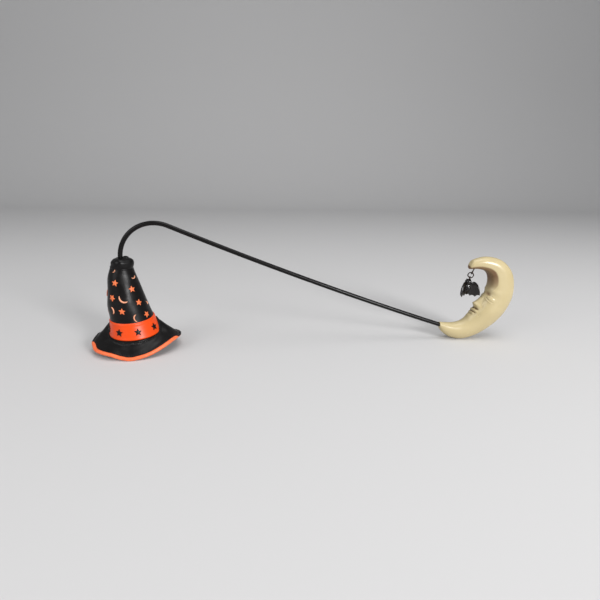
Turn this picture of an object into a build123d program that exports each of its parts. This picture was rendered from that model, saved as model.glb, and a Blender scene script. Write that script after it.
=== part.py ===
from build123d import *
import math
import os

# A candle snuffer, in millimetres. X runs from the hat to the moon, Z is up, and the rod, the hat's
# axis and the moon all lie in the plane Y = 0. It stands on the brim and on the moon.

# Rod: a bent steel wire.
rod_diameter = 3.0
bend_radius = 22.4
bend_centre_x = -103.0
bend_centre_z = 62.0
bend_past_top_angle = 22.8
bow_radius = 2690.0
bow_angle = 4.3

# Sockets that the rod is glued into, and the gap that the glue fills.
moon_socket_depth = 9.5
glue_gap = 0.05

# Hat: a hollow casting about a leaning axis. Its heights are taken from the floor.
hat_x = -119.9
crown_height = 56.3
crown_radius = 16.8
wall = 1.9
brim_radius = 29.0
brim_height = 9.4
hem_diameter = 2.4
foot_depth = 0.12
crease_thickness = 3.4
cavity_height = 45.0
hat_socket_floor = 49.5
band_rise = 0.5
band_bottom_share = 0.224
band_top_share = 0.393
roll_radius = 7.5
roll_height = 6.3
roll_lean_angle = -4.0
tip_radius = 1.5
tip_place = 2.6
# Bulge of the roll: out and up, as shares of its radius and height.
roll_shares = [(1.00, 0.50), (0.75, 0.86)]

# Crown sections from the brim to the neck: height, place and radius as shares of the crown's
# height, height and radius, then the angles by which the section leans to the rod's side and dips
# to the front.
crown_steps = 16
crown_shares = [
    (0.168, 0.002, 0.990, 1.0, 4.5),
    (0.393, -0.032, 0.815, 1.0, 4.0),
    (0.550, -0.064, 0.756, 1.5, 3.0),
    (0.728, -0.085, 0.637, 1.5, 2.0),
    (0.880, -0.099, 0.536, 1.0, 1.0),
    (1.000, -0.094, 0.411, 0.0, 0.0),
]

# Brim, station by station round the hat: the angle from the moon's side, then the hem's reach and
# the height of its lower edge, as shares of the brim's radius and height, and the height at which
# the brim leaves the crown, as a share of the crown's. Its cloth is pinched up at both sides.
brim_shares = [
    (0, 1.021, 0.757, 0.311),
    (10, 1.007, 0.736, 0.373),
    (22, 0.986, 0.630, 0.382),
    (40, 0.952, 0.460, 0.311),
    (65, 0.876, 0.183, 0.240),
    (90, 0.824, 0.000, 0.213),
    (115, 0.876, 0.194, 0.231),
    (140, 0.952, 0.481, 0.302),
    (160, 1.000, 0.651, 0.382),
    (172, 0.997, 0.651, 0.391),
    (180, 1.004, 0.587, 0.355),
    (190, 0.986, 0.545, 0.266),
    (200, 0.959, 0.481, 0.222),
    (212, 0.952, 0.364, 0.210),
    (226, 0.910, 0.332, 0.206),
    (242, 0.855, 0.257, 0.204),
    (256, 0.824, 0.098, 0.204),
    (272, 0.824, 0.000, 0.204),
    (286, 0.824, 0.077, 0.204),
    (302, 0.834, 0.204, 0.208),
    (320, 0.879, 0.470, 0.213),
    (338, 0.938, 0.726, 0.227),
    (350, 0.983, 0.800, 0.249),
]

# Moon: a cast crescent. Its outline is given by pairs of points across it, one on the inner edge and
# one on the outer edge, from the rod's end to the tip of the upper horn.
moon_left_x = 95.4
moon_breadth = 53.4
moon_height = 61.7
moon_depth = 15.4

# Inner x and z, outer x and z, and the thickness, as shares of the breadth, height and depth.
moon_shares = [
    (0.000, 0.214, 0.000, 0.143, 0.290),
    (0.088, 0.206, 0.048, 0.087, 0.440),
    (0.200, 0.204, 0.165, 0.023, 0.610),
    (0.303, 0.225, 0.335, -0.002, 0.730),
    (0.386, 0.280, 0.545, 0.050, 0.820),
    (0.438, 0.357, 0.760, 0.175, 0.930),
    (0.532, 0.462, 0.905, 0.320, 1.000),
    (0.594, 0.567, 0.995, 0.513, 0.960),
    (0.622, 0.665, 0.986, 0.705, 0.890),
    (0.603, 0.765, 0.915, 0.850, 0.800),
    (0.541, 0.825, 0.765, 0.960, 0.700),
    (0.444, 0.848, 0.560, 1.000, 0.570),
    (0.363, 0.851, 0.386, 0.970, 0.430),
    (0.330, 0.857, 0.336, 0.928, 0.290),
    (0.320, 0.879, 0.320, 0.890, 0.050),
]
moon_steps = 56

# Nose, down its ridge: ridge x and z as shares of the breadth and height, then its reach and its
# half width as shares of the depth.
nose_shares = [
    (0.610, 0.590, 0.052, 0.065),
    (0.558, 0.532, 0.117, 0.117),
    (0.502, 0.486, 0.182, 0.169),
    (0.451, 0.449, 0.220, 0.220),
]
nose_lean_angle = 42.0

# Lips: the middle of each, as shares of the breadth and height, on a face that leans back.
lip_shares = [(0.444, 0.366), (0.421, 0.329)]
lip_thickness = 2.0
lip_width = 7.4
lip_curve = 1.4
lip_lean_angle = 34.0

# Wire eyes and ring. The ring passes through both eyes' holes and hangs with a small clearance.
wire_diameter = 0.75
eye_hole_diameter = 1.6
ring_hole_diameter = 3.0
ring_cut_angle = 5.0
link_clearance = 0.06
pin_depth = 3.2
pin_fit = 0.03
chain_turn_angle = -25.0
chain_lean_angle = 20.0
eye_seat_shares = (0.382, 0.8525)
eye_drop = 0.75
moon_pin_reach = 1.0
bat_pin_reach = 0.3

# Bat: a cast charm that hangs a little turned, with its wings drawn forward like a cloak. Its
# heights are taken from the middle of its eye.
bat_lean_angle = 1.0
bat_turn_angle = 30.0
bat_height = 13.0
bat_balance = -1.1
bat_head_radius = 2.3
bat_body_height = 8.0
bat_body_radius = 2.3
# Body's outline: out and down, as shares of its radius and height.
bat_body_shares = [(0.00, 0.00), (0.68, 0.14), (1.00, 0.36), (1.00, 0.60), (0.66, 0.84), (0.00, 1.00)]
bat_ear_radius = 0.8
bat_ear_height = 1.9
bat_ear_angle = 36.0
wing_span = 9.3
wing_thickness = 1.3
wing_root_angle = 12.0
wing_tip_angle = 55.0

# Wing outline out from the body: along the wing and up, as shares of its span and the bat's height.
wing_top_shares = [(0.00, -0.33), (0.21, -0.27), (0.46, -0.20), (0.79, -0.39), (0.96, -0.74), (1.00, -0.91)]
wing_scallop_shares = [(0.85, -0.88), (0.63, -1.00), (0.44, -0.93), (0.25, -0.98), (0.12, -0.91), (0.00, -0.93)]

# One overrun for all cuts.
overrun = 2.0


def smooth_row(rows, at):
    """Row of a table, between its rows, on smooth curves through them. The first column is the place."""
    last = len(rows) - 1
    low = max(row for row in range(last) if row == 0 or rows[row][0] <= at)
    before, first, second, after = (rows[min(max(row, 0), last)] for row in range(low - 1, low + 3))
    span = second[0] - first[0]
    part_way = (at - first[0]) / span
    values = []
    for column in range(1, len(first)):
        # A cubic whose slope at each row is that of the line between the rows beside it.
        start_slope = (second[column] - before[column]) / (second[0] - before[0])
        end_slope = (after[column] - first[column]) / (after[0] - first[0])
        rise = second[column] - first[column]
        bend_in = start_slope * span - rise
        bend_out = rise - end_slope * span
        swing = bend_in + (bend_out - bend_in) * part_way
        values.append(first[column] + part_way * rise + part_way * (1 - part_way) * swing)
    return values


def hat_plane(height_share):
    """Plane across the hat's axis at a share of the crown's height, and the crown's radius there."""
    place, radius, lean_angle, dip_angle = smooth_row(crown_shares, height_share)
    level = Plane((hat_x + place * crown_height, 0, height_share * crown_height))
    return level.rotated((dip_angle, -lean_angle, 0)), radius * crown_radius


def crown_sections(low_share, high_share, growth):
    """Circles across the crown, from one share of its height to another, larger by the growth."""
    sections = []
    for step in range(crown_steps + 1):
        plane, radius = hat_plane(low_share + (high_share - low_share) * step / crown_steps)
        with BuildSketch(plane) as section:
            Circle(radius + growth)
        sections.append(section.sketch)
    return sections


def brim_ring(place):
    """Closed curve round the hat. At each station, place gives its point from the hem's middle, the
    root's middle and the direction outwards."""
    points = []
    for azimuth, reach, height, root_share in brim_shares:
        turn = math.radians(azimuth)
        outwards = Vector(math.cos(turn), math.sin(turn), 0)
        hem = Vector(hat_x, 0, height * brim_height + hem_radius - foot_depth)
        hem += outwards * (reach * brim_radius - hem_radius)
        plane, radius = hat_plane(root_share)
        inside = radius - wall / 2
        root = plane.from_local_coords((inside * math.cos(turn), inside * math.sin(turn), 0))
        points.append(place(hem, root, outwards))
    return Wire([Edge.make_spline(points, periodic=True)])


def bead_ring(angle):
    """Ring on the hem's bead, at an angle round the bead's own middle."""
    across = hem_radius * math.cos(math.radians(angle))
    up = Vector(0, 0, hem_radius * math.sin(math.radians(angle)))
    return brim_ring(lambda hem, root, outwards: hem + outwards * across + up)


def plate_ring(share, thickness):
    """Ring on the brim's plate, a share of the way from the root to the hem."""
    drop = Vector(0, 0, hem_radius * share * (1 - share) + thickness)
    shoulder_rise = Vector(0, 0, shoulder)
    return brim_ring(
        lambda hem, root, outwards: root + (hem - outwards * shoulder + shoulder_rise - root) * share - drop
    )


# Brim: strips round the hat, sewn into one solid: over the top, the bead, the underside and the root.
hem_radius = hem_diameter / 2
shoulder = hem_radius * math.sqrt(0.5)
brim_rings = [plate_ring(0, 0), plate_ring(0.5, 0)]
brim_rings += [bead_ring(angle) for angle in (135, 80, 25, -30, -85, -140)]
brim_rings += [plate_ring(0.5, wall), plate_ring(0, crease_thickness)]
brim_faces = [
    face
    for ring, next_ring in zip(brim_rings, brim_rings[1:] + brim_rings[:1])
    for face in Shell.make_loft([ring, next_ring], ruled=True).faces()
]
with BuildPart() as brim:
    add(Solid(Shell(brim_faces)))
    # The two low points of the hem are flat where they stand.
    split(bisect_by=Plane.XY, keep=Keep.TOP)

# Hat: crown, band, brim and folded top, hollowed one wall inside the crown.
neck, neck_radius = hat_plane(1)
roll_base = neck.rotated((0, -roll_lean_angle, 0))
roll_side = Plane(roll_base.origin, x_dir=roll_base.x_dir, z_dir=-roll_base.y_dir)
mouth_share = crown_shares[0][0]

with BuildPart() as hat:
    loft(crown_sections(mouth_share, 1, 0), ruled=True)
    for share in (band_bottom_share, band_top_share):
        plane, radius = hat_plane(share)
        with BuildSketch(plane):
            Circle(radius + band_rise)
    loft(ruled=True)
    add(brim.part)
    # The folded top closes the neck with a soft roll, and the hat's tip lies on it.
    with BuildSketch(roll_side):
        with BuildLine():
            roll_foot = (neck_radius + wall / 4, 0)
            Polyline((0, roll_height), (0, -wall), (neck_radius - wall / 2, -wall), roll_foot)
            bulge = [(out * roll_radius, up * roll_height) for out, up in roll_shares]
            ThreePointArc(roll_foot, *bulge)
            Line(bulge[-1], (0, roll_height))
        make_face()
    revolve(axis=Axis(roll_base.origin, roll_base.z_dir))
    with Locations(roll_base.from_local_coords((tip_place, 0, roll_height))):
        Sphere(tip_radius)
    # The hollow under the crown, and the mouth that opens it.
    loft(crown_sections(mouth_share, cavity_height / crown_height, -wall), ruled=True, mode=Mode.SUBTRACT)
    plane, radius = hat_plane(mouth_share)
    with BuildSketch(plane):
        Circle(radius - wall)
    extrude(amount=-wall - overrun, mode=Mode.SUBTRACT)
    # The rod's blind socket, straight down from above the folded top.
    with BuildSketch(Plane.XY.offset(hat_socket_floor)):
        with Locations((bend_centre_x - bend_radius, 0)):
            Circle(rod_diameter / 2 + glue_gap)
    extrude(amount=crown_height + roll_height + overrun - hat_socket_floor, mode=Mode.SUBTRACT)
hat.part.label = "hat"

# Rod: up out of the hat, over the bend and down to the moon in a slight bow.
with BuildPart() as rod:
    with BuildLine(Plane.XZ) as rod_path:
        bend_start_angle = 180
        bend_end_angle = 90 - bend_past_top_angle
        rise = Line(
            (bend_centre_x - bend_radius, hat_socket_floor + glue_gap),
            (bend_centre_x - bend_radius, bend_centre_z),
        )
        bend = CenterArc(
            (bend_centre_x, bend_centre_z), bend_radius, bend_start_angle, bend_end_angle - bend_start_angle
        )
        bow = JernArc(bend @ 1, bend % 1, bow_radius, bow_angle)
        Line(bow @ 1, bow @ 1 + (bow % 1) * moon_socket_depth)
    with BuildSketch(Plane(rise @ 0, z_dir=rise % 0)):
        Circle(rod_diameter / 2)
    sweep()
rod.part.label = "rod"
rod_end_direction = bow % 1
rod_end = bow @ 1 + rod_end_direction * (moon_socket_depth + glue_gap)

def moon_point(x_share, z_share):
    """Point of the moon's middle plane, from shares of its breadth and height."""
    return Vector(moon_left_x + x_share * moon_breadth, 0, z_share * moon_height)


# Chain: the ring's own plane, with y up the chain. It hangs from the middle of the moon's eye, just
# below the upper horn, and it leans and is turned towards the viewer.
eye_radius = (eye_hole_diameter + wire_diameter) / 2
eye_middle = moon_point(*eye_seat_shares) - Vector(0, 0, eye_radius + wire_diameter / 2 + eye_drop)
turn = math.radians(chain_turn_angle)
lean = math.radians(chain_lean_angle)
ring_side = Vector(math.cos(turn), math.sin(turn), 0)
chain = Plane(
    eye_middle,
    x_dir=ring_side * math.cos(lean) - Vector(0, 0, 1) * math.sin(lean),
    z_dir=ring_side.cross(Vector(0, 0, 1)),
)
ring_radius = (ring_hole_diameter + wire_diameter) / 2
crossing = wire_diameter + link_clearance
ring_top_drop = eye_radius - crossing
ring_bottom_drop = ring_top_drop + 2 * ring_radius
moon_pin_length = eye_radius + wire_diameter / 2 + moon_pin_reach + pin_depth
bat_pin_length = eye_radius + wire_diameter / 2 + bat_pin_reach + pin_depth


def chain_point(drop):
    """Point down the chain from the middle of the moon's eye."""
    return chain.from_local_coords((0, -drop, 0))


# Moon: the crescent is lofted through ellipses across its spine.
with BuildPart() as moon:
    stations = [(row, *shares) for row, shares in enumerate(moon_shares)]
    for step in range(moon_steps + 1):
        at = (len(stations) - 1) * step / moon_steps
        inner_x, inner_z, outer_x, outer_z, depth = smooth_row(stations, at)
        inner = moon_point(inner_x, inner_z)
        outer = moon_point(outer_x, outer_z)
        across = (outer - inner).normalized()
        with BuildSketch(Plane((inner + outer) / 2, x_dir=across, z_dir=across.cross(Vector(0, 1, 0)))):
            Circle(1)
            scale(by=((outer - inner).length / 2, depth * moon_depth / 2, 1))
    loft(ruled=True)
    # Nose: ellipses down the ridge, ending in a flat underside.
    lean = math.radians(nose_lean_angle)
    down_ridge = Vector(-math.sin(lean), 0, -math.cos(lean))
    out_of_face = Vector(-math.cos(lean), 0, math.sin(lean))
    for ridge_x, ridge_z, reach, half_width in nose_shares:
        middle = moon_point(ridge_x, ridge_z) - out_of_face * reach * moon_depth
        with BuildSketch(Plane(middle, x_dir=out_of_face, z_dir=down_ridge)):
            Circle(1)
            scale(by=(reach * moon_depth, half_width * moon_depth, 1))
    loft()
    # Lips: two beads that curve back round the face.
    lean = math.radians(lip_lean_angle)
    lip_out = Vector(-math.cos(lean), 0, math.sin(lean))
    half_lip = Vector(0, lip_width / 2, 0)
    for lip_x, lip_z in lip_shares:
        middle = moon_point(lip_x, lip_z)
        with BuildLine() as lip_path:
            ThreePointArc(middle - lip_out * lip_curve - half_lip, middle, middle - lip_out * lip_curve + half_lip)
        with BuildSketch(Plane(lip_path.line @ 0, z_dir=lip_path.line % 0)):
            Circle(lip_thickness / 2)
        sweep(path=lip_path.line)
    # The rod's blind socket, the eye pin's hole in the upper horn, and the flat that it stands on.
    with BuildSketch(Plane(rod_end, z_dir=-rod_end_direction)):
        Circle(rod_diameter / 2 + glue_gap)
    extrude(amount=moon_socket_depth + overrun, mode=Mode.SUBTRACT)
    with BuildSketch(Plane(chain.origin, z_dir=chain.y_dir)):
        Circle(wire_diameter / 2 + pin_fit)
    extrude(amount=moon_pin_length + pin_fit, mode=Mode.SUBTRACT)
    split(bisect_by=Plane.XY, keep=Keep.TOP)
moon.part.label = "moon"


def turned(plane, direction, angle):
    """The plane turned in place about a direction."""
    about = Axis((0, 0, 0), direction)
    return Plane(plane.origin, x_dir=plane.x_dir.rotate(about, angle), z_dir=plane.z_dir.rotate(about, angle))


# Moon's eye: a wire loop across the chain, on a straight shank up into the horn.
with BuildPart() as moon_eye:
    loop = Plane(chain.origin, x_dir=chain.y_dir, z_dir=chain.x_dir)
    with BuildSketch(Plane(loop.origin, x_dir=loop.x_dir, z_dir=-loop.y_dir)):
        with Locations((eye_radius, 0)):
            Circle(wire_diameter / 2)
    revolve(axis=Axis(loop.origin, loop.z_dir))
    with BuildSketch(Plane(loop.origin + loop.x_dir * eye_radius, z_dir=loop.x_dir)):
        Circle(wire_diameter / 2)
    extrude(amount=moon_pin_length - eye_radius)
moon_eye.part.label = "moon_eye"

# Jump ring: one turn of wire, its ends brought together at the side away from both eyes.
with BuildPart() as jump_ring:
    middle = chain_point(ring_top_drop + ring_radius)
    with BuildSketch(Plane(middle, x_dir=chain.x_dir, z_dir=-chain.y_dir)):
        with Locations((ring_radius, 0)):
            Circle(wire_diameter / 2)
    revolve(axis=Axis(middle, chain.z_dir), revolution_arc=360 - ring_cut_angle)
jump_ring.part.label = "jump_ring"

# Bat: it hangs by the ring, turned about its own upright axis.
bat_up = Vector(0, 0, 1).rotate(Axis((0, 0, 0), chain.z_dir), -bat_lean_angle)
bat_eye_middle = chain_point(ring_bottom_drop - crossing) - bat_up * eye_radius
bat_hang = Plane(bat_eye_middle, x_dir=bat_up.cross(chain.z_dir), z_dir=chain.z_dir)
head_drop = eye_radius + bat_head_radius - wire_diameter / 2

# Bat's eye: the same loop, on a shank down into the head.
with BuildPart() as bat_eye:
    loop = Plane(bat_hang.origin, x_dir=-bat_hang.y_dir, z_dir=bat_hang.x_dir)
    with BuildSketch(Plane(loop.origin, x_dir=loop.x_dir, z_dir=-loop.y_dir)):
        with Locations((eye_radius, 0)):
            Circle(wire_diameter / 2)
    revolve(axis=Axis(loop.origin, loop.z_dir))
    with BuildSketch(Plane(loop.origin + loop.x_dir * eye_radius, z_dir=loop.x_dir)):
        Circle(wire_diameter / 2)
    extrude(amount=bat_pin_length - eye_radius)
bat_eye.part.label = "bat_eye"

bat_front = turned(bat_hang, bat_hang.y_dir, bat_turn_angle).offset(bat_balance)
bat_middle = Plane(bat_front.origin, x_dir=bat_front.z_dir, z_dir=bat_front.x_dir)
bat_plan = Plane(bat_front.origin, x_dir=bat_front.x_dir, z_dir=-bat_front.y_dir)

# Wings: a curved plate in plan, cut to the wing's outline, on both sides.
with BuildPart() as wings:
    wing_turn = wing_tip_angle - wing_root_angle
    with BuildSketch(bat_plan):
        with BuildLine():
            root = math.radians(wing_root_angle)
            JernArc((0, 0), (math.cos(root), math.sin(root)), wing_span / math.radians(wing_turn), wing_turn)
        trace(line_width=wing_thickness)
    extrude(amount=bat_height + overrun)
    with BuildSketch(turned(bat_front, bat_front.y_dir, -(wing_root_angle + wing_tip_angle) / 2)):
        top = [(x * wing_span, y * bat_height) for x, y in wing_top_shares]
        low = [(x * wing_span, y * bat_height) for x, y in wing_scallop_shares]
        with BuildLine():
            Spline(*top)
            ThreePointArc(top[-1], low[0], low[1])
            ThreePointArc(low[1], low[2], low[3])
            ThreePointArc(low[3], low[4], low[5])
            Line(low[5], top[0])
        make_face()
    extrude(amount=wing_span, both=True, mode=Mode.INTERSECT)
    mirror(about=bat_middle)

with BuildPart() as bat:
    add(wings.part)
    head = bat_front.from_local_coords((0, -head_drop, 0))
    with Locations(head):
        Sphere(bat_head_radius)
    # Body: a plump spindle below the head.
    with BuildSketch(bat_front):
        with BuildLine():
            Polyline(*[(out * bat_body_radius, -head_drop - down * bat_body_height) for out, down in bat_body_shares])
            Line((0, -head_drop - bat_body_height), (0, -head_drop))
        make_face()
    revolve(axis=Axis(bat_front.origin, bat_front.y_dir))
    for side in (1, -1):
        # Ear: a cone that leans out from the middle of the head.
        ear = turned(bat_plan, bat_front.z_dir, side * bat_ear_angle)
        with Locations(Plane(head, z_dir=-ear.z_dir)):
            with Locations((0, 0, bat_head_radius / 2)):
                Cone(bat_ear_radius, 0, bat_ear_height, align=(Align.CENTER, Align.CENTER, Align.MIN))
    # The eye is cast in.
    add(bat_eye.part, mode=Mode.SUBTRACT)
bat.part.label = "bat"

os.makedirs("parts", exist_ok=True)
for piece in (rod, hat, moon, moon_eye, jump_ring, bat, bat_eye):
    export_step(piece.part, "parts/" + piece.part.label + ".step")
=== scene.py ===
import bmesh
import bpy
import numpy as np
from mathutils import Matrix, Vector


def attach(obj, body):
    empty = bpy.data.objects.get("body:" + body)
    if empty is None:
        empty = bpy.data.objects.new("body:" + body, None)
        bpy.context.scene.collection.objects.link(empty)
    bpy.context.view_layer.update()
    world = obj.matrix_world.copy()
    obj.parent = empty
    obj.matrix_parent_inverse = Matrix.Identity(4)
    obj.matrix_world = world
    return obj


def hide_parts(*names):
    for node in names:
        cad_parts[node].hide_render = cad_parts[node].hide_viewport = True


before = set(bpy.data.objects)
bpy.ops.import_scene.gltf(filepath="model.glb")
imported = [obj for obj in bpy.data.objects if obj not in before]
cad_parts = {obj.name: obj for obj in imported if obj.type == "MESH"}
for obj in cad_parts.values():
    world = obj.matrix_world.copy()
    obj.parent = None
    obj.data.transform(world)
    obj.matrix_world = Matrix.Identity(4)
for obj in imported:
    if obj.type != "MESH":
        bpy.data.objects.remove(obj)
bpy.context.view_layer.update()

# Lengths are in millimetres up to the stage. skin turns them to the frame's metres, and takes
# points closer than WELD metres as one.
MM = 0.001
WELD = 2e-7


def skin(name, points, paint=None, values=None):
    """A mesh from a grid of points in millimetres, rows x columns: each cell is one quad, and the
    last column joins the first. Points that coincide at a pole or a seam become one. paint gives
    the material number of each cell, values names per-point numbers kept as attributes."""
    rows, columns = points.shape[:2]
    index = np.arange(rows * columns).reshape(rows, columns)
    index = np.concatenate([index, index[:, :1]], axis=1)
    quads = np.stack([index[:-1, :-1], index[:-1, 1:], index[1:, 1:], index[1:, :-1]], axis=-1)
    mesh = bpy.data.meshes.new(name)
    mesh.from_pydata((points.reshape(-1, 3) * MM).tolist(), [], quads.reshape(-1, 4).tolist())
    if paint is not None:
        mesh.polygons.foreach_set("material_index", np.asarray(paint, np.int32).ravel())
    for label, numbers in (values or {}).items():
        layer = mesh.attributes.new(label, "FLOAT", "POINT")
        layer.data.foreach_set("value", np.asarray(numbers, np.float32).ravel())
    work = bmesh.new()
    work.from_mesh(mesh)
    bmesh.ops.remove_doubles(work, verts=work.verts, dist=WELD)
    bmesh.ops.recalc_face_normals(work, faces=work.faces)
    work.to_mesh(mesh)
    work.free()
    mesh.polygons.foreach_set("use_smooth", np.ones(len(mesh.polygons), bool))
    piece = bpy.data.objects.new(name, mesh)
    bpy.context.scene.collection.objects.link(piece)
    return piece


def tube(path, radius, sides):
    """Grid of a round tube: at each point of the path, a circle across the path's direction. The
    circles take their bearing from the axis along which the path spreads least, and each end is
    closed by a circle of no radius."""
    along = np.gradient(path, axis=0)
    along /= np.linalg.norm(along, axis=1)[:, None]
    up = np.eye(3)[int(np.argmin(np.ptp(path, axis=0)))]
    side = np.cross(along, up)
    side /= np.linalg.norm(side, axis=1)[:, None]
    other = np.cross(side, along)
    turn = np.linspace(0, 2 * np.pi, sides, endpoint=False)[:, None]
    body = path[:, None] + (side[:, None] * np.cos(turn) + other[:, None] * np.sin(turn)) * radius
    return np.concatenate([path[:1, None] + 0 * body[:1], body, path[-1:, None] + 0 * body[-1:]])


def put(tree, kind, links=(), **settings):
    """Adds a node with its settings. links pairs a socket with a value or an output to join."""
    made = tree.nodes.new(kind)
    for label, value in settings.items():
        setattr(made, label, value)
    for socket, value in links:
        if isinstance(value, bpy.types.NodeSocket):
            tree.links.new(value, made.inputs[socket])
        else:
            made.inputs[socket].default_value = value
    return made


def linear(code):
    """Linear colour of an sRGB hex code: below 0.04045 the value over 12.92, above it the 2.4 power
    of (value + 0.055) over 1.055."""
    parts = [int(code[i:i + 2], 16) / 255 for i in (1, 3, 5)]
    return tuple(p / 12.92 if p <= 0.04045 else ((p + 0.055) / 1.055) ** 2.4
                 for p in parts) + (1.0,)


def finish_named(name):
    """An empty material that uses nodes, and the tree to fill."""
    made = bpy.data.materials.new(name)
    made.use_nodes = True
    made.node_tree.nodes.clear()
    return made, made.node_tree


def flow(at, knots, values):
    """Smooth curve through a table: between two knots, the cubic that has their values and whose
    slope at each knot is that of the line between its two neighbours."""
    k = np.concatenate([knots[:1], knots, knots[-1:]])
    v = np.concatenate([values[:1], values, values[-1:]])
    slope = (v[2:] - v[:-2]) / (k[2:] - k[:-2])
    low = np.clip(np.searchsorted(knots, at, side="right") - 1, 0, len(knots) - 2)
    span = knots[low + 1] - knots[low]
    t = (at - knots[low]) / span
    return ((1 + 2 * t) * (1 - t) ** 2 * values[low] + t * (1 - t) ** 2 * span * slope[low]
            + t * t * (3 - 2 * t) * values[low + 1] - t * t * (1 - t) * span * slope[low + 1])


def smooth(low, high, at):
    """Soft step from 0 to 1 between two values."""
    t = np.clip((at - low) / (high - low), 0, 1)
    return t * t * (3 - 2 * t)


# Rod: one steel wire, 3 mm thick, bent over a former at the hat and left a little bowed on its way
# to the moon. It is dipped in black enamel and glued into a socket at each end.
rod_radius = 1.5
rod_foot = (-125.4, 49.6)
bend_centre = (-103.0, 62.0)
bend_radius = 22.4
bend_turn = np.radians(112.8)
bow_radius = 2690.0
bow_turn = np.radians(4.3)
rod_in_moon = 9.4

# Stoved black enamel on steel: a smooth dipped coat, deep black, with a wet gloss and a very faint
# ripple where it drained.
rod_enamel, tree = finish_named("black_stoved_enamel_on_steel")
place = put(tree, "ShaderNodeTexCoord").outputs["Object"]
ripple = put(tree, "ShaderNodeTexNoise", [("Vector", place), ("Scale", 180.0), ("Detail", 2.0)])
dust = put(tree, "ShaderNodeTexNoise", [("Vector", place), ("Scale", 900.0), ("Detail", 3.0)])
rough = put(tree, "ShaderNodeMapRange", [(0, dust.outputs[0]), (3, 0.20), (4, 0.32)])
tone = put(tree, "ShaderNodeMix", [
    (0, ripple.outputs[0]), (6, linear("#070606")), (7, linear("#0d0b0b"))], data_type="RGBA")
bump = put(tree, "ShaderNodeBump", [
    ("Height", ripple.outputs[0]), ("Strength", 0.12), ("Distance", 0.0003)])
coat = put(tree, "ShaderNodeBsdfPrincipled", [
    ("Base Color", tone.outputs[2]), ("Roughness", rough.outputs[0]), ("Normal", bump.outputs[0]),
    ("Specular IOR Level", 0.2)])
put(tree, "ShaderNodeOutputMaterial", [("Surface", coat.outputs[0])])

climb = np.linspace(rod_foot[1], bend_centre[1], 14)
rise = np.stack([np.full_like(climb, rod_foot[0]), 0 * climb, climb], -1)
angle = np.pi - np.linspace(0, bend_turn, 90)[1:]
bend = np.stack([bend_centre[0] + bend_radius * np.cos(angle), 0 * angle,
                 bend_centre[1] + bend_radius * np.sin(angle)], -1)
heading = angle[-1] - np.pi / 2
bearing = heading + np.linspace(0, bow_turn, 150)[1:]
bow_middle = bend[-1] + bow_radius * np.array([-np.sin(heading), 0, np.cos(heading)])
bow = bow_middle + bow_radius * np.stack([np.sin(bearing), 0 * bearing, -np.cos(bearing)], -1)
heading += bow_turn
into_moon = np.linspace(0, rod_in_moon, 8)[1:, None] * [np.cos(heading), 0, np.sin(heading)]
rod_path = np.concatenate([rise, bend, bow, bow[-1] + into_moon])
rod = skin("rod_wire", tube(rod_path, rod_radius, 40))
rod.data.materials.append(rod_enamel)
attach(rod, "snuffer")
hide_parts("rod")

# Hat: the bell, one hollow casting in the shape of a creased cloth hat, with a wall of about 2 mm.
# The crown, the raised band, the wavy brim, its rolled hem and the folded top are all one piece. It
# is sprayed black, with the band and hem picked out by brush in orange.
hat_x = -119.9
crown_height = 56.3
crown_radius = 16.8
wall = 1.9
# Height, place, radius, lean to the rod's side and dip to the front, from the brim to the neck.
# Heights and places are shares of the crown's height, and angles are in degrees.
crown_table = np.array([
    (0.168, 0.002, 0.990, 1.0, 4.5), (0.393, -0.032, 0.815, 1.0, 4.0),
    (0.550, -0.064, 0.756, 1.5, 3.0), (0.728, -0.085, 0.637, 1.5, 2.0),
    (0.880, -0.099, 0.536, 1.0, 1.0), (1.000, -0.094, 0.411, 0.0, 0.0),
])
# Azimuth, then the hem's reach and height and the height where the brim leaves the crown.
brim_table = np.array([
    (0, 1.021, 0.757, 0.311), (10, 1.007, 0.736, 0.373), (22, 0.986, 0.630, 0.382),
    (40, 0.952, 0.460, 0.311), (65, 0.876, 0.183, 0.240), (90, 0.824, 0.000, 0.213),
    (115, 0.876, 0.194, 0.231), (140, 0.952, 0.481, 0.302), (160, 1.000, 0.651, 0.382),
    (172, 0.997, 0.651, 0.391), (180, 1.004, 0.587, 0.355), (190, 0.986, 0.545, 0.266),
    (200, 0.959, 0.481, 0.222), (212, 0.952, 0.364, 0.210), (226, 0.910, 0.332, 0.206),
    (242, 0.855, 0.257, 0.204), (256, 0.824, 0.098, 0.204), (272, 0.824, 0.000, 0.204),
    (286, 0.824, 0.077, 0.204), (302, 0.834, 0.204, 0.208), (320, 0.879, 0.470, 0.213),
    (338, 0.938, 0.726, 0.227), (350, 0.983, 0.800, 0.249),
])
brim_radius = 29.0
brim_height = 9.4
hem_radius = 1.2
# The hem's bead thins at the brim's two points, its two low points are pressed flat by foot_depth,
# and crease_thickness is how thick the brim is next to the crown.
point_thinning = 0.5
point_width = 0.15
foot_depth = 0.12
crease_thickness = 3.4
# Heights of the mouth and of the band's edges, as shares of the crown's height.
mouth = 0.168
band_low = 0.224
band_high = 0.393
band_rise = 0.5
cavity_height = 45.0
columns = 400
azimuth = np.linspace(0, 2 * np.pi, columns, endpoint=False)


def crown(height, turn, off=0.0):
    """Point of the crown's outer surface: a circle about an axis whose place, radius, lean and dip
    follow the crown table at that share of the height, pushed outwards by off."""
    place, radius, lean, dip = (
        flow(height, crown_table[:, 0], crown_table[:, i]) for i in (1, 2, 3, 4))
    lean, dip = np.radians(lean), np.radians(dip)
    over = (radius * crown_radius + off) * np.cos(turn)
    deep = (radius * crown_radius + off) * np.sin(turn)
    raised = deep * np.sin(dip)
    return np.stack([hat_x + place * crown_height + over * np.cos(lean) - raised * np.sin(lean),
                     deep * np.cos(dip),
                     height * crown_height + over * np.sin(lean) + raised * np.cos(lean)], -1)


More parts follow.
